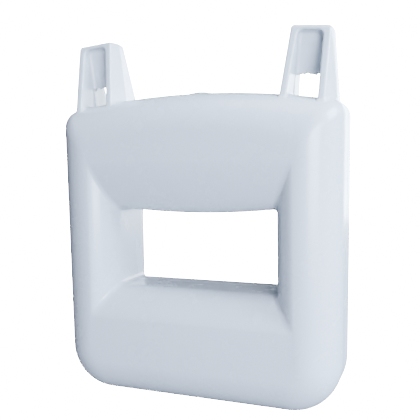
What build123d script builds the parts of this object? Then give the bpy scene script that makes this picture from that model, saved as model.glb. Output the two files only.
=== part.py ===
"""One-step boarding fender: a hollow soft-cornered PVC ring with a foot opening,
two solid rope lugs on its top, and a screw-down air valve let into the top wall.

Frame: origin at the middle of the base, +X to the right, front facing -Y, +Z up.
All sizes are in millimetres.
"""

import os
from math import cos, radians, sin

from build123d import *

os.makedirs("parts", exist_ok=True)

# ---------------------------------------------------------------- air chamber
body_width = 380.0
body_height = 397.5
body_depth = 134.5
shell_wall = 3.5
edge_round = 49.0          # rounding between the outer rim and the front or back face
bottom_corner = 63.0       # corner radii of the outline, seen from the front
top_corner = 19.0
face_corner_bottom = 15.0  # the same corners, where the rounding reaches the flat face
face_corner_top = 8.5
arch_rise = 18.0           # how far the top edge rises from its ends to its middle
side_taper = 3.4           # how much narrower each side is at the base
base_flat = 0.8            # how much of the round underside is flattened where it stands

# ---------------------------------------------------------------- foot opening
side_bar = 80.5            # thickness of the ring beside, below and above the opening
bottom_bar = 146.0
top_bar = 152.5
opening_land = 55.0        # straight stretch of the opening between the two flares
opening_corner = 6.0
flare_side = 24.0          # how far each flare spreads, measured on the face
flare_below = 35.5
flare_above = 60.0
flare_start = 20.0         # degrees of its rounding that each flare leaves out at the face
lintel_sag = 6.0           # how far the middle of the opening's top edge hangs down

# ------------------------------------------------------------------ rope lugs
lug_spacing = 282.0        # between the lugs' centre lines, where they leave the top
lug_lean = 5.0             # outward lean, in degrees
lug_rise = 84.5            # from the root to the top, along the lug
lug_root_width = 54.0      # across the front edges, at the root and at the top
lug_top_width = 48.4
lug_root_half = 38.0       # half thickness at the root and at the top
lug_top_half = 18.0
lug_inner_swell = 3.4      # the inner side is this much further in on the parting plane
lug_root_flare = 11.0      # the outer side flares this much past its front edges
lug_top_flare = 1.0
flare_strip_root = 15.0    # half thickness of the flat strip down the outer side
flare_strip_top = 11.0
lug_rim = 10.5             # flange round the pocket, measured at the web
lug_top_rim = 6.5
lug_web = 5.0
pocket_draft = 5.0
pocket_corner = 6.0
eye_width = 29.0
eye_height = 28.0          # from the root to the top of the rope eye
eye_corner = 6.0
lug_edge_round = 4.0
root_depth = 24.0          # stock below the root, trimmed to the chamber's surface

# ------------------------------------------------------------------ air valve
flange_radius = 17.0
flange_thickness = 2.5
flange_recess = 1.0        # depth of the flat that the flange sits in
flange_gap = 0.3           # round the flange, in its flat
flange_chamfer = 0.8
barrel_radius = 11.0
barrel_length = 15.0       # below the flange
barb_radius = 13.5
barb_thickness = 2.0
barb_gap = 0.3             # between the barb and the inside of the wall
head_well_radius = 10.2
head_well_depth = 4.5
plug_bore_radius = 6.0
port_radius = 2.5
port_web = 2.0             # the seat that the check disc closes
gasket_thickness = 2.0
gasket_gap = 0.3           # to the plug's neck and to the well's wall
plug_clearance = 0.05      # running fit of the plug's shank
head_gap = 0.5             # round the plug's head
head_height = 4.0
head_edge_bevel = 0.6
shank_length = 12.3
coin_slot_width = 2.6
coin_slot_depth = 2.0
grip_count = 18
grip_radius = 0.7
disc_radius = 6.6
disc_thickness = 1.6
disc_gap = 0.05            # between the closed disc and its seat
disc_side_gap = 1.2        # round the disc, where the air passes
peg_radius = 1.3
peg_clearance = 0.05
disc_travel = 2.2
cage_wall = 1.6
cage_gap = 0.05            # push fit of the cage's skirt on the barrel
cage_floor = 1.5
cage_overlap = 4.0         # how far the cage's skirt reaches up the barrel
cage_slots = 3
cage_slot_width = 2.4
cage_slot_length = 5.4
cage_slot_place = 5.2      # from the peg's axis to the middle of each slot
cage_margin = 0.65         # between the open disc and the cage's floor
peg_tail = 1.0             # end of the peg below the cage

rounding_steps = 6         # sections in each rounding and in each flare
least_bow = 0.01           # keeps the opening's top edge an arc where it is all but straight

# Heights that the pieces share
face_plane = body_depth / 2
opening_width = body_width - 2 * side_bar
opening_top = body_height - top_bar
flange_seat = body_height - flange_recess
flange_top = flange_seat + flange_thickness
barrel_end = flange_seat - barrel_length
well_floor = flange_top - head_well_depth
seat_top = barrel_end + port_web
head_base = well_floor + gasket_thickness
head_radius = head_well_radius - head_gap
shank_radius = plug_bore_radius - plug_clearance
disc_top = barrel_end - disc_gap
disc_base = disc_top - disc_thickness
cage_floor_top = disc_base - disc_travel - cage_margin
cage_end = cage_floor_top - cage_floor
peg_end = cage_end - peg_tail


def rim_outline(depth, inset, bottom_radius, top_radius):
    """Outline of the chamber on the plane y = -depth, drawn in all round by an inset."""
    half_top = body_width / 2 - inset
    half_bottom = half_top - side_taper
    underside = inset - base_flat
    shoulder = body_height - arch_rise - inset
    crown = body_height - inset
    with BuildSketch(Plane.XZ.offset(depth)) as outline:
        with BuildLine():
            Polyline(
                (-half_top, shoulder),
                (-half_bottom, underside),
                (half_bottom, underside),
                (half_top, shoulder),
            )
            ThreePointArc((half_top, shoulder), (0, crown), (-half_top, shoulder))
        make_face()
        fillet(outline.vertices().group_by(Axis.Y)[0], radius=bottom_radius)
        fillet(outline.vertices().group_by(Axis.Y)[-1], radius=top_radius)
    return outline.sketch


def opening_outline(depth, spread, grow):
    """Outline of the foot opening on the plane y = -depth; spread 0 is the narrow part."""
    half_width = opening_width / 2 + flare_side * spread + grow
    low = bottom_bar - flare_below * spread - grow
    high = opening_top + flare_above * spread + grow
    sag = lintel_sag * (1 - spread)
    with BuildSketch(Plane.XZ.offset(depth)) as outline:
        with BuildLine():
            Polyline(
                (-half_width, high + sag),
                (-half_width, low),
                (half_width, low),
                (half_width, high + sag),
            )
            ThreePointArc(
                (half_width, high + sag), (0, high - least_bow), (-half_width, high + sag)
            )
        make_face()
        fillet(outline.vertices(), radius=opening_corner + grow)
    return outline.sketch


def ring_form(wall):
    """The chamber as a solid ring, with every face drawn in by a wall thickness."""
    rounding = edge_round - wall
    straight = face_plane - edge_round
    rim_sections = []
    flare_sections = []
    flare_depth = face_plane - wall - opening_land / 2
    first_turn = radians(flare_start)
    for step in range(rounding_steps + 1):
        turn = radians(90 * step / rounding_steps)
        share = cos(turn)
        rim_sections.append(
            rim_outline(
                straight + rounding * sin(turn),
                wall + rounding * (1 - share),
                face_corner_bottom + (bottom_corner - wall - face_corner_bottom) * share,
                face_corner_top + (top_corner - wall - face_corner_top) * share,
            )
        )
    # The first section lies in front of the face, so that the flare cuts cleanly through it
    for step in range(-1, rounding_steps + 1):
        turn = radians(flare_start + (90 - flare_start) * step / rounding_steps)
        flare_sections.append(
            opening_outline(
                opening_land / 2 + flare_depth * cos(turn) / cos(first_turn),
                (1 - sin(turn)) / (1 - sin(first_turn)),
                wall,
            )
        )
    with BuildPart() as form:
        loft(sections=rim_sections)
        mirror(about=Plane.XZ)
        extrude(rim_sections[0], amount=-2 * straight)
        split(bisect_by=Plane.XY.offset(wall), keep=Keep.TOP)
        front_flare = loft(sections=flare_sections, mode=Mode.PRIVATE)
        add(front_flare, mode=Mode.SUBTRACT)
        add(front_flare.mirror(Plane.XZ), mode=Mode.SUBTRACT)
        extrude(flare_sections[-1], amount=-opening_land, mode=Mode.SUBTRACT)
    return form.part


outer_form = ring_form(0)
air_space = ring_form(shell_wall)

# The blow-moulded chamber: one skin, open only where the valve passes through it
with BuildPart() as chamber_shell:
    add(outer_form)
    add(air_space, mode=Mode.SUBTRACT)
    with BuildSketch(Plane.XY.offset(flange_seat)):
        Circle(flange_radius + flange_gap)
    extrude(amount=flange_thickness, mode=Mode.SUBTRACT)
    with BuildSketch(Plane.XY.offset(flange_seat)):
        Circle(barrel_radius)
    extrude(amount=-2 * shell_wall, mode=Mode.SUBTRACT)
chamber_shell.part.label = "chamber_shell"
export_step(chamber_shell.part, "parts/chamber_shell.step")


# Rope lugs: drafted wedges, pocketed front and back, with an eye through the web
lean = radians(lug_lean)
arch_drop = arch_rise * (lug_spacing / body_width) ** 2
lug_root = (lug_spacing / 2, 0, body_height - arch_drop)
lug_across = (cos(lean), 0, -sin(lean))
lug_base_plane = Plane(lug_root, x_dir=lug_across, z_dir=(sin(lean), 0, cos(lean)))
lug_web_plane = Plane(lug_root, x_dir=lug_across, z_dir=(0, -1, 0))
stock_front = lug_root_half + (lug_root_half - lug_top_half) * root_depth / lug_rise
pocket_top = lug_rise - lug_top_rim


def lug_value(at_root, at_top, height):
    """A size of the lug that changes evenly from its root to its top."""
    return at_root + (at_top - at_root) * height / lug_rise


def lug_section(height):
    """Section of a lug: drafted inner side, and a flat strip down the flared outer side."""
    half_thickness = lug_value(lug_root_half, lug_top_half, height)
    half_width = lug_value(lug_root_width, lug_top_width, height) / 2
    strip_place = half_width + lug_value(lug_root_flare, lug_top_flare, height)
    half_strip = lug_value(flare_strip_root, flare_strip_top, height)
    with BuildSketch(lug_base_plane.offset(height)) as section:
        with BuildLine():
            Polyline(
                (half_width, -half_thickness),
                (strip_place, -half_strip),
                (strip_place, half_strip),
                (half_width, half_thickness),
                (-half_width, half_thickness),
                (-half_width - lug_inner_swell, 0),
                (-half_width, -half_thickness),
                close=True,
            )
        make_face()
    return section.sketch


pocket_foot = lug_value(lug_root_width, lug_top_width, -root_depth) / 2 - lug_rim
pocket_head = lug_value(lug_root_width, lug_top_width, pocket_top) / 2 - lug_rim
lug_stock_sections = [lug_section(-root_depth), lug_section(lug_rise)]

with BuildPart() as right_rope_lug:
    loft(sections=lug_stock_sections, ruled=True)
    fillet(faces().sort_by(Axis.Z)[-1].edges(), radius=lug_edge_round)
    with BuildSketch(lug_web_plane.offset(lug_web / 2)) as pocket_outline:
        with BuildLine():
            Polyline(
                (-pocket_foot, -root_depth),
                (pocket_foot, -root_depth),
                (pocket_head, pocket_top),
                (-pocket_head, pocket_top),
                close=True,
            )
        make_face()
        fillet(pocket_outline.vertices().group_by(Axis.Y)[-1], radius=pocket_corner)
    front_pocket = extrude(amount=stock_front, taper=-pocket_draft, mode=Mode.PRIVATE)
    add(front_pocket, mode=Mode.SUBTRACT)
    add(front_pocket.mirror(Plane.XZ), mode=Mode.SUBTRACT)
    with BuildSketch(lug_web_plane) as eye_outline:
        with Locations((0, (eye_height - root_depth) / 2)):
            Rectangle(eye_width, eye_height + root_depth)
        fillet(eye_outline.vertices().group_by(Axis.Y)[-1], radius=eye_corner)
    extrude(amount=lug_web, both=True, mode=Mode.SUBTRACT)
    add(outer_form, mode=Mode.SUBTRACT)
right_rope_lug.part.label = "right_rope_lug"
export_step(right_rope_lug.part, "parts/right_rope_lug.step")

with BuildPart() as left_rope_lug:
    add(right_rope_lug.part.mirror(Plane.YZ))
left_rope_lug.part.label = "left_rope_lug"
export_step(left_rope_lug.part, "parts/left_rope_lug.step")


# Valve socket: flanged barrel welded into the top wall, stepped inside for the plug
barb_top = body_height - shell_wall - barb_gap
with BuildPart() as valve_socket:
    with BuildSketch(Plane.XZ):
        with BuildLine():
            Polyline(
                (port_radius, barrel_end),
                (barrel_radius, barrel_end),
                (barrel_radius, barb_top - barb_thickness),
                (barb_radius, barb_top - barb_thickness),
                (barrel_radius, barb_top),
                (barrel_radius, flange_seat),
                (flange_radius, flange_seat),
                (flange_radius, flange_top - flange_chamfer),
                (flange_radius - flange_chamfer, flange_top),
                (head_well_radius, flange_top),
                (head_well_radius, well_floor),
                (plug_bore_radius, well_floor),
                (plug_bore_radius, seat_top),
                (port_radius, seat_top),
                close=True,
            )
        make_face()
    revolve(axis=Axis.Z)
valve_socket.part.label = "valve_socket"
export_step(valve_socket.part, "parts/valve_socket.step")

# Flat gasket that the plug's head presses on the floor of the well
with BuildPart() as plug_gasket:
    with BuildSketch(Plane.XY.offset(well_floor)):
        Circle(head_well_radius - gasket_gap)
        Circle(plug_bore_radius + gasket_gap, mode=Mode.SUBTRACT)
    extrude(amount=gasket_thickness)
plug_gasket.part.label = "plug_gasket"
export_step(plug_gasket.part, "parts/plug_gasket.step")

# Screw plug: domed and fluted head with a coin slot, on a plain-modelled screw shank
with BuildPart() as valve_plug:
    with BuildSketch(Plane.XY.offset(head_base)):
        Circle(head_radius)
        with PolarLocations(head_radius, grip_count):
            Circle(grip_radius, mode=Mode.SUBTRACT)
    extrude(amount=head_height)
    chamfer(faces().sort_by(Axis.Z)[-1].edges(), length=head_edge_bevel)
    with BuildSketch(Plane.XY.offset(head_base + head_height)):
        Rectangle(2 * head_well_radius, coin_slot_width)
    extrude(amount=-coin_slot_depth, mode=Mode.SUBTRACT)
    with BuildSketch(Plane.XY.offset(head_base)):
        Circle(shank_radius)
    extrude(amount=-shank_length)
    chamfer(faces().sort_by(Axis.Z)[0].edges(), length=head_edge_bevel)
valve_plug.part.label = "valve_plug"
export_step(valve_plug.part, "parts/valve_plug.step")

# Check disc: soft disc that air pressure holds on the seat, guided by a peg
with BuildPart() as check_disc:
    with BuildSketch(Plane.XY.offset(disc_base)):
        Circle(disc_radius)
    extrude(amount=disc_thickness)
    with BuildSketch(Plane.XY.offset(disc_base)):
        Circle(peg_radius)
    extrude(amount=peg_end - disc_base)
check_disc.part.label = "check_disc"
export_step(check_disc.part, "parts/check_disc.step")

# Disc cage: slotted cup on the barrel's end that guides the peg and stops the disc
cage_inner = disc_radius + disc_side_gap
cage_bore = barrel_radius + cage_gap
cage_outer = cage_bore + cage_wall
with BuildPart() as disc_cage:
    with BuildSketch(Plane.XZ):
        with BuildLine():
            Polyline(
                (peg_radius + peg_clearance, cage_end),
                (cage_outer, cage_end),
                (cage_outer, barrel_end + cage_overlap),
                (cage_bore, barrel_end + cage_overlap),
                (cage_bore, barrel_end),
                (cage_inner, barrel_end),
                (cage_inner, cage_floor_top),
                (peg_radius + peg_clearance, cage_floor_top),
                close=True,
            )
        make_face()
    revolve(axis=Axis.Z)
    with BuildSketch(Plane.XY.offset(cage_floor_top)):
        with PolarLocations(cage_slot_place, cage_slots):
            SlotOverall(cage_slot_length, cage_slot_width, rotation=90)
    extrude(amount=-cage_floor, mode=Mode.SUBTRACT)
disc_cage.part.label = "disc_cage"
export_step(disc_cage.part, "parts/disc_cage.step")
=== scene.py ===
import math

import bpy
import numpy as np
from mathutils import Matrix, Vector


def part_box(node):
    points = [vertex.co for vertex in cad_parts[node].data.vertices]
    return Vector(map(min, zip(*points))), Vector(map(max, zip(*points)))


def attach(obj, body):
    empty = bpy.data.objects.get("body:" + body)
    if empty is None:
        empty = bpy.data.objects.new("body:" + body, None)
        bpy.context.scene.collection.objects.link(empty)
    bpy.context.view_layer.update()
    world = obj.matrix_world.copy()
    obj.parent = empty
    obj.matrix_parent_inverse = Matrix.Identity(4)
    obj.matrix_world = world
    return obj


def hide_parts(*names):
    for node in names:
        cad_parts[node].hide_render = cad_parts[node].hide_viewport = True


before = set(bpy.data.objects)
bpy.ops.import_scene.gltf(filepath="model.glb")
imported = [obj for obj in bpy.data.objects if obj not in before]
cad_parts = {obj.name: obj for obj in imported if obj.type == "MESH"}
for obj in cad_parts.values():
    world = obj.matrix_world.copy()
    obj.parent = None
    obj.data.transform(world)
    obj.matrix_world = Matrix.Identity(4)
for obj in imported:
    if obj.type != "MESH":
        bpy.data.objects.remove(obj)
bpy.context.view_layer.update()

# ------------------------------------------------------------------ air chamber
# The real piece is one blow-moulded skin of white flexible PVC, blown into a two-part mould,
# so it has soft pillowed bars round the foot opening and a fine parting line round its rim.
# A stepped recess in the middle of its top edge takes the air valve.
shell_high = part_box("chamber_shell")[1]
height = shell_high.z
half_depth = shell_high.y
half_width = 0.190                       # where the sides and the arched top would meet
side_taper = 0.0034                      # each side is this much narrower at the base
arch_rise = 0.018
edge_round = 0.049
bottom_corner = 0.063
top_corner = 0.019
face_corner_bottom = 0.015               # corner radii where the rounding meets the flat faces
face_corner_top = 0.0085
base_flat = 0.0008                       # the round underside is flattened this much
opening_half = 0.1095
opening_low = 0.146
opening_high = 0.245
opening_land = 0.055
opening_corner = 0.006
flare_side = 0.024
flare_below = 0.0355
flare_above = 0.060
flare_start = 32                         # degrees of its rounding that a flare leaves out
flare_lead = 4                           # degrees by which it starts in front of the face
crease_round = 0.0022                    # softens the crease where a flare meets the face
lintel_sag = 0.006
# Depth of each loop of the parting line, and how far it is drawn in from the ridge's tip
parting_ridge = ((0.0030, 0.00012), (0.0009, 0.00025), (0.0004, 0.00012), (0, 0))
# Radius of each step of the valve's recess, and its height over the crown
recess_steps = ((0.0173, 0.0015), (0.0173, -0.001), (0.0137, -0.001), (0.0137, -0.031))
points_on_edge = 30
points_on_corner = 14
rounding_steps = 20
recess_sides = 72
sharp_from = math.radians(38)            # edges that turn more than this stay sharp
pvc_refraction = 1.53
quarter_turn = math.pi / 2


def straight(start, end):
    share = np.linspace(0, 1, points_on_edge, endpoint=False)[:, None]
    return np.array(start) + (np.array(end) - np.array(start)) * share


def arc(centre, radius, first, last, count=points_on_corner):
    turn = np.linspace(first, last, count, endpoint=False)
    return np.array(centre) + radius * np.column_stack([np.cos(turn), np.sin(turn)])


def both_sides(right):
    """Closed outline from the points of its right half, bottom middle to top middle."""
    return np.vstack([right, right[1:-1][::-1] * (-1, 1)])


def rim_loop(inset, share):
    """Outline of the chamber drawn in by an inset; share 1 has the full corner radii."""
    base_corner = face_corner_bottom + (bottom_corner - face_corner_bottom) * share
    crown_corner = face_corner_top + (top_corner - face_corner_top) * share
    half_crown = half_width - inset
    half_base = half_crown - side_taper
    low = inset - base_flat
    crown = height - inset
    side = np.array((side_taper, crown - arch_rise - low))
    side /= np.hypot(*side)
    outward = np.array((side[1], -side[0]))
    side_turn = math.atan2(outward[1], outward[0])
    bow_radius = (half_crown**2 + arch_rise**2) / (2 * arch_rise)
    bow_centre = np.array((0, crown - bow_radius))
    base_step = base_corner * (1 + outward[1]) / side[1]
    base_centre = np.array((half_base, low)) - base_corner * outward + base_step * side
    shoulder = np.array((half_crown, crown - arch_rise)) - crown_corner * outward
    gap = shoulder - bow_centre
    run = gap @ side
    crown_step = math.sqrt(run**2 - gap @ gap + (bow_radius - crown_corner) ** 2) - run
    crown_centre = shoulder + crown_step * side
    crown_turn = math.atan2(crown_centre[1] - bow_centre[1], crown_centre[0])
    outline = both_sides(np.vstack([
        straight((0, low), (base_centre[0], low)),
        arc(base_centre, base_corner, -quarter_turn, side_turn),
        straight(base_centre + base_corner * outward, crown_centre + crown_corner * outward),
        arc(crown_centre, crown_corner, side_turn, crown_turn),
        arc(bow_centre, bow_radius, crown_turn, quarter_turn, points_on_edge),
        [(0, crown)],
    ]))
    outline[:, 1] = np.maximum(outline[:, 1], 0)     # flat where it stands
    return outline


def rounded_max(a, b, radius):
    """Larger of two signed distances, with the edge where they meet rounded off."""
    return np.minimum(-radius, np.maximum(a, b)) + np.hypot(
        np.maximum(a + radius, 0), np.maximum(b + radius, 0)
    )


def opening_loop(spread):
    """Outline of the foot opening; spread 0 is its narrow part and 1 its mouth on a face."""
    half = opening_half + flare_side * spread
    low = opening_low - flare_below * spread
    high = opening_high + flare_above * spread
    inner = half - opening_corner
    outline = both_sides(np.vstack([
        straight((0, low), (inner, low)),
        arc((inner, low + opening_corner), opening_corner, -quarter_turn, 0),
        straight((half, low + opening_corner), (half, high - opening_corner)),
        arc((inner, high - opening_corner), opening_corner, 0, quarter_turn),
        straight((inner, high), (0, high)),
        [(0, high)],
    ]))
    middle = (low + high) / 2
    upper = np.clip((outline[:, 1] - middle) / (high - middle), 0, 1)
    bow = (outline[:, 0] / half) ** 2 * upper**2 * (3 - 2 * upper)
    outline[:, 1] += lintel_sag * (1 - spread) * bow
    return outline


def smooth_piece(name, points, faces, paint):
    """Mesh object made of points and faces, shaded smooth all over."""
    mesh = bpy.data.meshes.new(name)
    mesh.from_pydata([tuple(point) for point in points], [], [tuple(face) for face in faces])
    mesh.polygons.foreach_set("use_smooth", [True] * len(mesh.polygons))
    mesh.update()
    mesh.materials.append(paint)
    made = bpy.data.objects.new(name, mesh)
    bpy.context.scene.collection.objects.link(made)
    return made


def put(tree, kind, inputs=(), **settings):
    """New node in a node tree; each input is given as a value or as a socket to link from."""
    made = tree.nodes.new(kind)
    for name, value in settings.items():
        setattr(made, name, value)
    for name, value in dict(inputs).items():
        if isinstance(value, bpy.types.NodeSocket):
            tree.links.new(value, made.inputs[name])
        else:
            made.inputs[name].default_value = value
    return made


def effect(name, inputs, outputs):
    """Empty node group with named sockets, and its entry and exit nodes."""
    tree = bpy.data.node_groups.new(name, "ShaderNodeTree")
    for label, kind in inputs:
        tree.interface.new_socket(name=label, in_out="INPUT", socket_type=kind)
    for label, kind in outputs:
        tree.interface.new_socket(name=label, in_out="OUTPUT", socket_type=kind)
    entry, way_out = tree.nodes.new("NodeGroupInput"), tree.nodes.new("NodeGroupOutput")
    return tree, entry.outputs, way_out.inputs


def noise(tree, where, scale, detail, rough=0.5):
    values = {"Vector": where, "Scale": scale, "Detail": detail, "Roughness": rough}
    return put(tree, "ShaderNodeTexNoise", values).outputs["Fac"]


def remap(tree, value, low, high):
    """Value spread over 0 to 1, with soft ends at low and high."""
    values = {"Value": value, "From Min": low, "From Max": high}
    spread = put(tree, "ShaderNodeMapRange", values, interpolation_type="SMOOTHSTEP")
    return spread.outputs["Result"]


def reckon(tree, what, first, second):
    return put(tree, "ShaderNodeMath", {0: first, 1: second}, operation=what).outputs[0]


def tint(tree, amount, first, second):
    """Colour that goes from the first to the second with an amount from 0 to 1."""
    made = put(tree, "ShaderNodeMix", {"Factor": amount}, data_type="RGBA")
    for socket, value in ((made.inputs[6], first), (made.inputs[7], second)):
        if isinstance(value, bpy.types.NodeSocket):
            tree.links.new(value, socket)
        else:
            socket.default_value = value
    return made.outputs[2]


VALUE, COLOUR = "NodeSocketFloat", "NodeSocketColor"

# Slow change of tone and gloss that a cooling moulding keeps, with a fine peel on its skin
moulded_skin, given, wanted = effect(
    "moulded skin",
    [("Pale", COLOUR), ("Deep", COLOUR), ("Cloud Size", VALUE), ("Peel Size", VALUE)],
    [("Colour", COLOUR), ("Gloss Wander", VALUE), ("Peel", VALUE)],
)
place = put(moulded_skin, "ShaderNodeTexCoord").outputs["Object"]
cloud_scale = reckon(moulded_skin, "DIVIDE", 1.0, given["Cloud Size"])
peel_scale = reckon(moulded_skin, "DIVIDE", 1.0, given["Peel Size"])
flow_scale = reckon(moulded_skin, "MULTIPLY", cloud_scale, 4.3)
clouds = noise(moulded_skin, place, cloud_scale, detail=3.0, rough=0.55)
flow = noise(moulded_skin, place, flow_scale, detail=4.0, rough=0.6)
cloud_part = reckon(moulded_skin, "MULTIPLY", clouds, 0.65)
flow_part = reckon(moulded_skin, "MULTIPLY", flow, 0.35)
tone = remap(moulded_skin, reckon(moulded_skin, "ADD", cloud_part, flow_part), low=0.36, high=0.64)
peel = noise(moulded_skin, place, peel_scale, detail=2.0, rough=0.45)
moulded_skin.links.new(tint(moulded_skin, tone, given["Pale"], given["Deep"]), wanted["Colour"])
moulded_skin.links.new(remap(moulded_skin, flow, low=0.3, high=0.7), wanted["Gloss Wander"])
moulded_skin.links.new(peel, wanted["Peel"])

# Fine rub marks that lie in patches, and the raised edges that handling polishes
rubbed, given, wanted = effect(
    "rubbed", [("Mark Size", VALUE), ("Spread", VALUE)], [("Marks", VALUE), ("Edges", VALUE)]
)
place = put(rubbed, "ShaderNodeTexCoord").outputs["Object"]
mark_scale = reckon(rubbed, "DIVIDE", 1.0, given["Mark Size"])
streaks = []
for tilt, stretch in ((0.5, (1.0, 0.7, 0.06)), (-0.9, (0.08, 0.7, 1.0))):
    laid = {"Vector": place, "Rotation": (0, tilt, 0), "Scale": stretch}
    turned = put(rubbed, "ShaderNodeMapping", laid).outputs["Vector"]
    streak = noise(rubbed, turned, mark_scale, detail=3.0, rough=0.6)
    streaks.append(remap(rubbed, streak, low=0.66, high=0.76))
patch_scale = reckon(rubbed, "MULTIPLY", mark_scale, 0.05)
patches = remap(rubbed, noise(rubbed, place, patch_scale, detail=2.0), low=0.5, high=0.62)
patched = reckon(rubbed, "MULTIPLY", reckon(rubbed, "MAXIMUM", *streaks), patches)
bulge = put(rubbed, "ShaderNodeNewGeometry").outputs["Pointiness"]
edges = remap(rubbed, bulge, low=0.515, high=0.56)
rubbed.links.new(reckon(rubbed, "MULTIPLY", patched, given["Spread"]), wanted["Marks"])
rubbed.links.new(edges, wanted["Edges"])

# Specks of dust that settle on what faces up, and painted shade that darkens the hollows, where
# shade falls
dust_and_hollow_shade, given, wanted = effect("dust and hollow shade", [("Speck Size", VALUE)], [("Dust And Shade", VALUE)])
place = put(dust_and_hollow_shade, "ShaderNodeTexCoord").outputs["Object"]
surface = put(dust_and_hollow_shade, "ShaderNodeNewGeometry").outputs
upward = put(dust_and_hollow_shade, "ShaderNodeSeparateXYZ", {"Vector": surface["Normal"]}).outputs["Z"]
speck_scale = reckon(dust_and_hollow_shade, "DIVIDE", 1.0, given["Speck Size"])
grains = noise(dust_and_hollow_shade, place, speck_scale, detail=5.0, rough=0.7)
specks = remap(dust_and_hollow_shade, grains, low=0.42, high=0.7)
drift = remap(dust_and_hollow_shade, noise(dust_and_hollow_shade, place, scale=14.0, detail=3.0), low=0.35, high=0.65)
level_parts = remap(dust_and_hollow_shade, upward, low=0.45, high=0.98)
drifted = reckon(dust_and_hollow_shade, "MULTIPLY", level_parts, drift)
lying = reckon(dust_and_hollow_shade, "MULTIPLY", drifted, specks)
# painted shade: the hollows are tinted towards the dust colour, darker where shade falls
painted_hollow_shade = remap(dust_and_hollow_shade, surface["Pointiness"], low=0.485, high=0.44)
dust_and_hollow_shade.links.new(reckon(dust_and_hollow_shade, "MAXIMUM", lying, painted_hollow_shade), wanted["Dust And Shade"])


def moulded_plastic(name, pale, deep, grime_and_shade_colour, gloss, sizes, peel_depth, dust_and_shade_strength, marked):
    """Moulded plastic; gloss is its roughness at the smoothest and at the dullest, and sizes
    are those of its clouds, its peel, its rub marks and its dust specks."""
    paint = bpy.data.materials.new(name)
    paint.use_nodes = True
    tree = paint.node_tree
    shader = tree.nodes["Principled BSDF"]
    cloud_size, peel_size, mark_size, speck_size = sizes
    skin = put(tree, "ShaderNodeGroup", node_tree=moulded_skin)
    rub = put(tree, "ShaderNodeGroup", node_tree=rubbed)
    dust_and_shade = put(tree, "ShaderNodeGroup", node_tree=dust_and_hollow_shade)
    for group, label, value in (
        (skin, "Pale", pale), (skin, "Deep", deep), (skin, "Cloud Size", cloud_size),
        (skin, "Peel Size", peel_size), (rub, "Mark Size", mark_size), (rub, "Spread", marked),
        (dust_and_shade, "Speck Size", speck_size),
    ):
        group.inputs[label].default_value = value
    # this amount holds the dust and also the painted shade that darkens the hollows
    dust_and_shade_amount = reckon(tree, "MULTIPLY", dust_and_shade.outputs["Dust And Shade"], dust_and_shade_strength)
    marks = rub.outputs["Marks"]
    worn = tint(tree, reckon(tree, "MULTIPLY", marks, 0.5), skin.outputs["Colour"], grime_and_shade_colour)
    tree.links.new(tint(tree, dust_and_shade_amount, worn, grime_and_shade_colour), shader.inputs["Base Color"])
    wander = reckon(tree, "MULTIPLY", skin.outputs["Gloss Wander"], gloss[1] - gloss[0])
    roughness = reckon(tree, "ADD", wander, gloss[0])
    for change, cause, amount in (
        ("ADD", marks, 0.16), ("SUBTRACT", rub.outputs["Edges"], 0.05), ("ADD", dust_and_shade_amount, 0.3),
    ):
        roughness = reckon(tree, change, roughness, reckon(tree, "MULTIPLY", cause, amount))
    tree.links.new(roughness, shader.inputs["Roughness"])
    relief = reckon(tree, "SUBTRACT", skin.outputs["Peel"], reckon(tree, "MULTIPLY", marks, 0.6))
    bump = put(tree, "ShaderNodeBump", {"Height": relief, "Distance": peel_depth, "Strength": 1.0})
    tree.links.new(bump.outputs["Normal"], shader.inputs["Normal"])
    return paint


chamber_pvc = moulded_plastic(
    "chamber_pvc", pale=(0.67, 0.685, 0.72, 1), deep=(0.65, 0.667, 0.705, 1),
    grime_and_shade_colour=(0.50, 0.49, 0.46, 1), gloss=(0.21, 0.29), sizes=(0.16, 0.0028, 0.003, 0.004),
    peel_depth=0.00006, dust_and_shade_strength=0.08, marked=0.06,
)
chamber_pvc.node_tree.nodes["Principled BSDF"].inputs["IOR"].default_value = pvc_refraction

front_loops = []
for step in range(rounding_steps + 1):
    turn = math.radians(90 * step / rounding_steps)
    share = math.cos(turn)
    depth = half_depth - edge_round * (1 - math.sin(turn))
    front_loops.append((-depth, rim_loop(edge_round * (1 - share), share)))
for turn in np.radians(np.linspace(flare_start - flare_lead, 90, 3 * rounding_steps)):
    reach = math.cos(turn) / math.cos(math.radians(flare_start))
    depth = opening_land / 2 + (half_depth - opening_land / 2) * reach
    spread = (1 - math.sin(turn)) / (1 - math.sin(math.radians(flare_start)))
    creased = half_depth - rounded_max(0, half_depth - depth, crease_round)
    front_loops.append((-creased, opening_loop(spread)))
back_loops = [(-depth, outline) for depth, outline in front_loops[::-1]]
ridge_loops = [(depth, rim_loop(inset, 1)) for depth, inset in parting_ridge]
ridge_loops += [(-depth, outline) for depth, outline in ridge_loops[-2::-1]]
ring_loops = front_loops + back_loops + ridge_loops
ring_points = [(x, depth, z) for depth, outline in ring_loops for x, z in outline]
loop_size = len(ring_loops[0][1])
ring_faces = []
for row in range(len(ring_loops)):
    here, there = row * loop_size, (row + 1) % len(ring_loops) * loop_size
    for k in range(loop_size):
        after = (k + 1) % loop_size
        ring_faces.append((here + k, here + after, there + after, there + k))
chamber = smooth_piece("chamber_skin", ring_points, ring_faces, chamber_pvc)


def turned_form(profile, sides):
    """Points and faces of a closed turned form, from (radius, height) steps, top to bottom."""
    turns = [2 * math.pi * k / sides for k in range(sides)]
    points = [(r * math.cos(t), r * math.sin(t), z) for r, z in profile for t in turns]
    faces = [tuple(range(sides)), tuple(range(len(points) - 1, len(points) - 1 - sides, -1))]
    for row in range(len(profile) - 1):
        here = row * sides
        for k in range(sides):
            after = (k + 1) % sides
            faces.append((here + k, here + sides + k, here + sides + after, here + after))
    return points, faces


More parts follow.
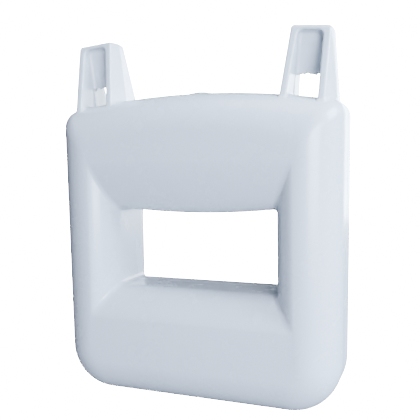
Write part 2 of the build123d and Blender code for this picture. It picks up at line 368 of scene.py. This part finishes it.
recess_profile = [(radius, height + rise) for radius, rise in recess_steps]
recess = smooth_piece("valve_recess", *turned_form(recess_profile, recess_sides), chamber_pvc)
cut = chamber.modifiers.new("valve_recess", "BOOLEAN")
cut.operation = "DIFFERENCE"
cut.solver = "EXACT"
cut.object = recess
cut_chamber = chamber.evaluated_get(bpy.context.evaluated_depsgraph_get())
recessed = bpy.data.meshes.new_from_object(cut_chamber)
chamber.modifiers.clear()
chamber.data = recessed
recessed.polygons.foreach_set("use_smooth", [True] * len(recessed.polygons))
recessed.set_sharp_from_angle(angle=sharp_from)
bpy.data.objects.remove(recess)
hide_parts("chamber_shell")
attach(chamber, "fender")

# ------------------------------------------------------------------ rope lugs
# Two solid PVC wedges fused to the top of the chamber. The mould draws them from the front and
# the back, so a pocket on each face leaves a web between flanges, which are thinner behind it,
# and the rope eye through the web keeps a ragged line of flash. All the edges run out softly.
lug_spacing = 0.282
lug_lean = math.radians(5)
lug_rise = 0.0845
lug_root_half_width, lug_top_half_width = 0.027, 0.0242
lug_root_half, lug_top_half = 0.038, 0.018
lug_inner_swell = 0.0034                 # the inner side is this much further in at mid-depth
lug_root_flare, lug_top_flare = 0.011, 0.001
flare_strip_root, flare_strip_top = 0.015, 0.011
lug_rim = 0.009                          # thickness of the flanges before the web
lug_rear_rim = 0.008                     # and of those behind it
lug_top_rim = 0.0065
lug_half_web = 0.0025                    # half thickness of the web by the eye
web_thickening = 0.006                   # added to it at the top of the pocket
pocket_draft = math.radians(1.5)
pocket_corner = 0.007
pocket_floor_round = 0.004
eye_half_width = 0.0172
eye_height = 0.028
eye_corner = 0.006
eye_flash = 0.0007
# Waves that make the flash ragged: their height, their turns across and through, their start
flash_waves = ((1.0, 900, 0, 1), (0.7, 1700, 800, 0), (1.0, 420, 0, -0.6))
lug_edge_round = 0.0019
lug_top_round = 0.0045
strip_round = 0.003
root_fillet = 0.0045
root_sink = 0.0004                       # the fillet's skirt runs out this far under the skin
root_cut = 0.003                         # and under it the lug is cut off this deep
fillet_reach = 1.5                       # the fillet runs out within this many of its radii
inner_slant = 0.995                      # these two turn a slanting height into a distance
crown_slant = 0.93
corner_share = 0.98                      # how far round a corner the crown is followed
lug_grain = 0.0009                       # spacing of the samples that its skin is drawn from
room_beside, room_below, room_above = 0.016, 0.032, 0.004    # sampled round the lug
lug_slope = (lug_root_half - lug_top_half) / lug_rise
lug_root = Vector((lug_spacing / 2, 0, height - arch_rise * (lug_spacing / 2 / half_width) ** 2))
lug_across = Vector((math.cos(lug_lean), 0, -math.sin(lug_lean)))
lug_up = Vector((math.sin(lug_lean), 0, math.cos(lug_lean)))


def crown_height(x, y):
    """Height of the chamber's skin under a point beside its top edge."""
    past = np.clip(np.abs(y) - (half_depth - edge_round), 0, edge_round * corner_share)
    drawn_in = edge_round - np.sqrt(edge_round**2 - past**2)
    share = 1 - drawn_in / edge_round
    corner = face_corner_top + (top_corner - face_corner_top) * share
    half = half_width - drawn_in
    over = np.clip(np.abs(x) - (half - corner), 0, corner * corner_share)
    return height - drawn_in - arch_rise * (x / half) ** 2 - corner + np.sqrt(corner**2 - over**2)


def lug_field(across, out, up):
    """Signed distance to the right lug's skin, in the lug's own leaning frame, from which the
    chamber's skin and the fillet on it are taken too."""
    share = up / lug_rise
    half = lug_root_half_width + (lug_top_half_width - lug_root_half_width) * share
    face = lug_root_half + (lug_top_half - lug_root_half) * share
    flare = lug_root_flare + (lug_top_flare - lug_root_flare) * share
    strip = flare_strip_root + (flare_strip_top - flare_strip_root) * share
    outward = np.abs(out)
    sideways = np.abs(across)
    inner = (-across - half - lug_inner_swell * (1 - outward / face)) * inner_slant
    draft = (across - half) * (face - strip) + (outward - face) * flare
    draft /= np.hypot(face - strip, flare)
    outer = rounded_max(across - half - flare, draft, strip_round)
    front = (outward - face) * math.cos(math.atan(lug_slope))
    wedge = rounded_max(np.maximum(inner, outer), front, lug_edge_round)
    wedge = rounded_max(wedge, up - lug_rise, lug_top_round)
    rise = np.clip((up - eye_height) / (lug_rise - lug_top_rim - eye_height), 0, 1)
    half_web = lug_half_web + web_thickening * rise**2 * (3 - 2 * rise)
    spread = (outward - half_web) * math.tan(pocket_draft)
    rim = np.where(out < 0, lug_rim, lug_rear_rim)
    pocket_side = sideways - (half - rim) - spread
    pocket_top = up - (lug_rise - lug_top_rim) - spread
    pocket = rounded_max(pocket_side, pocket_top, pocket_corner)
    pocket = rounded_max(pocket, half_web - outward, pocket_floor_round)
    ragged = sum(
        tall * np.sin(across * along + out * through + start)
        for tall, along, through, start in flash_waves
    )
    eye_top = up - eye_height + eye_flash * ragged
    eye = rounded_max(sideways - eye_half_width, eye_top, eye_corner)
    lug = rounded_max(rounded_max(wedge, -pocket, lug_edge_round), -eye, lug_edge_round / 2)
    x = lug_root.x + across * lug_across.x + up * lug_up.x
    z = lug_root.z + across * lug_across.z + up * lug_up.z
    skin = (z - crown_height(x, out)) * crown_slant
    rooted = -rounded_max(-lug, -(skin + root_sink), root_fillet)
    rooted = np.maximum(rooted, lug - root_fillet * fillet_reach)
    return np.maximum(rooted, -(skin + root_cut))


def skin_of(field, low, high, step):
    """Points and four-sided faces on the zero surface of a field sampled in a box."""
    axes = [np.arange(a, b + step, step) for a, b in zip(low, high)]
    value = field(*np.meshgrid(*axes, indexing="ij"))
    cells = tuple(size - 1 for size in value.shape)
    total, count = np.zeros(cells + (3,)), np.zeros(cells)
    corners = [(i, j, k) for i in (0, 1) for j in (0, 1) for k in (0, 1)]

    def at(corner):
        return value[tuple(slice(c, c + n) for c, n in zip(corner, cells))]

    for first in corners:
        for axis in range(3):
            if first[axis]:
                continue
            second = tuple(c + (n == axis) for n, c in enumerate(first))
            a, b = at(first), at(second)
            crossed = (a < 0) != (b < 0)
            share = np.where(crossed, a / np.where(crossed, a - b, 1), 0)
            for n in range(3):
                total[..., n] += np.where(crossed, first[n] + (share if n == axis else 0), 0)
            count += crossed
    used = count > 0
    number = np.full(cells, -1)
    number[used] = np.arange(used.sum())
    place = np.argwhere(used) + total[used] / count[used][:, None]
    points = np.array([axis[0] for axis in axes]) + place * step
    faces = []
    for axis in range(3):
        b, c = (axis + 1) % 3, (axis + 2) % 3
        ahead = [slice(None)] * 3
        ahead[axis] = slice(1, None)
        behind = [slice(None)] * 3
        behind[axis] = slice(0, -1)
        inside = value < 0
        change = inside[tuple(behind)].astype(int) - inside[tuple(ahead)]
        spots = np.argwhere(change != 0)
        keep = (spots[:, b] > 0) & (spots[:, c] > 0)
        keep &= (spots[:, b] < cells[b]) & (spots[:, c] < cells[c])
        spots = spots[keep]
        sign = change[tuple(spots.T)]
        ring = []
        for db, dc in ((-1, -1), (0, -1), (0, 0), (-1, 0)):
            cell = spots.copy()
            cell[:, b] += db
            cell[:, c] += dc
            ring.append(number[tuple(cell.T)])
        quads = np.stack(ring, axis=1)
        quads[sign < 0] = quads[sign < 0][:, ::-1]
        faces.append(quads)
    return points, np.vstack(faces)


lug_pvc = moulded_plastic(
    "lug_pvc", pale=(0.67, 0.685, 0.71, 1), deep=(0.62, 0.64, 0.665, 1),
    grime_and_shade_colour=(0.46, 0.45, 0.42, 1), gloss=(0.17, 0.26), sizes=(0.05, 0.0022, 0.002, 0.002),
    peel_depth=0.00006, dust_and_shade_strength=0.20, marked=0.4,
)
lug_pvc.node_tree.nodes["Principled BSDF"].inputs["IOR"].default_value = pvc_refraction
reach_in = lug_root_half_width + lug_inner_swell + 3 * root_fillet
reach_out = lug_root_half_width + lug_root_flare + 3 * root_fillet
lug_points, lug_faces = skin_of(
    lug_field,
    (-reach_in, -lug_root_half - room_beside, -room_below),
    (reach_out, lug_root_half + room_beside, lug_rise + room_above),
    lug_grain,
)
lug_frame = np.array([lug_across, (0, 1, 0), lug_up])
right_points = np.array(lug_root) + lug_points @ lug_frame
for side, name in ((1, "right_rope_lug"), (-1, "left_rope_lug")):
    lug = smooth_piece(name + "_skin", right_points * (side, 1, 1), lug_faces[:, ::side], lug_pvc)
    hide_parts(name)
    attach(lug, "fender")

# ------------------------------------------------------------------ air valve
# Injection-moulded grey nylon socket and cage, with a black nylon screw plug that a coin turns,
# on a flat nitrile gasket. A nitrile disc under the port lets air in and holds it there.
valve_peel_depth = 0.00002
valve_finishes = {
    "valve_nylon": (
        ("valve_socket", "disc_cage"),
        dict(pale=(0.52, 0.54, 0.56, 1), deep=(0.46, 0.48, 0.50, 1),
             grime_and_shade_colour=(0.40, 0.39, 0.36, 1), gloss=(0.36, 0.46),
             sizes=(0.02, 0.0008, 0.001, 0.001), dust_and_shade_strength=0.4, marked=0.9),
    ),
    "plug_nylon": (
        ("valve_plug",),
        dict(pale=(0.030, 0.032, 0.036, 1), deep=(0.020, 0.021, 0.024, 1),
             grime_and_shade_colour=(0.22, 0.21, 0.19, 1), gloss=(0.30, 0.42),
             sizes=(0.01, 0.0006, 0.0008, 0.001), dust_and_shade_strength=0.5, marked=1.0),
    ),
    "seal_rubber": (
        ("plug_gasket", "check_disc"),
        dict(pale=(0.022, 0.022, 0.022, 1), deep=(0.014, 0.014, 0.014, 1),
             grime_and_shade_colour=(0.16, 0.15, 0.14, 1), gloss=(0.62, 0.75),
             sizes=(0.008, 0.0004, 0.001, 0.001), dust_and_shade_strength=0.4, marked=0.3),
    ),
}
for finish, (piece_names, values) in valve_finishes.items():
    paint = moulded_plastic(finish, peel_depth=valve_peel_depth, **values)
    for name in piece_names:
        for paint_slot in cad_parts[name].material_slots:
            paint_slot.material = paint

# ------------------------------------------------------------------ stage
# Floor and surround that the camera sees as plain white; for all other light the floor is dark
# grey and the surround faint and warm. Four large soft lights stand at the right of the front,
# at the right side, overhead and behind.
floor_half = 9
camera_white = (1, 1, 1, 1)
camera_glow = 60.0                       # strength at which the white reads as pure white
floor_glow_share = 0.96                  # the rest of what the camera sees is the grey floor
floor_mesh = bpy.data.meshes.new("floor")
floor_signs = ((-1, -1), (1, -1), (1, 1), (-1, 1))
floor_corners = [(x * floor_half, y * floor_half, 0) for x, y in floor_signs]
floor_mesh.from_pydata(floor_corners, [], [(0, 1, 2, 3)])
floor = bpy.data.objects.new("floor", floor_mesh)
bpy.context.scene.collection.objects.link(floor)
floor_paint = bpy.data.materials.new("floor_paint")
floor_paint.use_nodes = True
floor_mesh.materials.append(floor_paint)
tree = floor_paint.node_tree
grey = tree.nodes["Principled BSDF"]
grey.inputs["Base Color"].default_value = (0.12, 0.12, 0.12, 1)
grey.inputs["Roughness"].default_value = 0.9
glow = put(tree, "ShaderNodeEmission", {"Color": camera_white, "Strength": camera_glow})
seen = put(tree, "ShaderNodeLightPath").outputs["Is Camera Ray"]
shown = reckon(tree, "MULTIPLY", seen, floor_glow_share)
blend = put(tree, "ShaderNodeMixShader", {0: shown, 1: grey.outputs[0], 2: glow.outputs[0]})
tree.links.new(blend.outputs[0], tree.nodes["Material Output"].inputs["Surface"])

world = bpy.data.worlds.new("studio")
bpy.context.scene.world = world
world.use_nodes = True
tree = world.node_tree
surround = tree.nodes["Background"]
surround.inputs["Color"].default_value = (1.0, 0.80, 0.45, 1)
surround.inputs["Strength"].default_value = 0.05
backdrop = put(tree, "ShaderNodeBackground", {"Color": camera_white, "Strength": camera_glow})
seen = put(tree, "ShaderNodeLightPath").outputs["Is Camera Ray"]
blend = put(tree, "ShaderNodeMixShader", {0: seen, 1: surround.outputs[0], 2: backdrop.outputs[0]})
tree.links.new(blend.outputs[0], tree.nodes["World Output"].inputs["Surface"])


def soft_light(name, place, target, size, power, colour):
    """Square soft light of a size in metres and a power in watts, turned to its target."""
    lamp = bpy.data.lights.new(name, "AREA")
    lamp.size = size
    lamp.energy = power
    lamp.color = colour
    stand = bpy.data.objects.new(name, lamp)
    bpy.context.scene.collection.objects.link(stand)
    stand.location = place
    stand.rotation_euler = (Vector(target) - Vector(place)).to_track_quat("-Z", "Y").to_euler()


soft_light("front", place=(1.50, -1.84, 0.60), target=(0, 0, 0.22), size=1.2, power=176,
           colour=(0.64, 0.755, 1.0))
soft_light("side", place=(1.82, -0.06, 1.55), target=(0, 0, 0.25), size=1.2, power=215,
           colour=(0.54, 0.77, 1.0))
soft_light("top", place=(0, -0.15, 2.3), target=(0, 0, 0.3), size=1.3, power=24,
           colour=(0.80, 0.86, 1.0))
soft_light("back", place=(0.6, 2.15, 0.5), target=(0, 0, 0.22), size=1.2, power=95,
           colour=(0.70, 0.83, 1.0))

camera_data = bpy.data.cameras.new("camera")
camera = bpy.data.objects.new("camera", camera_data)
bpy.context.scene.collection.objects.link(camera)
camera_data.lens = 52.05
camera_data.sensor_width = 36.0
camera.location = (0.2996, -0.7483, 0.31545)
yaw, pitch, roll = math.radians(21.2), math.radians(4.92), math.radians(-0.86)
ahead = Vector((-math.sin(yaw), math.cos(yaw), 0))
forward = ahead * math.cos(pitch) - Vector((0, 0, math.sin(pitch)))
level = Vector((math.cos(yaw), math.sin(yaw), 0))
upright = level.cross(forward)
rightward = level * math.cos(roll) + upright * math.sin(roll)
upward = upright * math.cos(roll) - level * math.sin(roll)
camera.rotation_euler = Matrix((rightward, upward, -forward)).transposed().to_euler()
bpy.context.scene.camera = camera
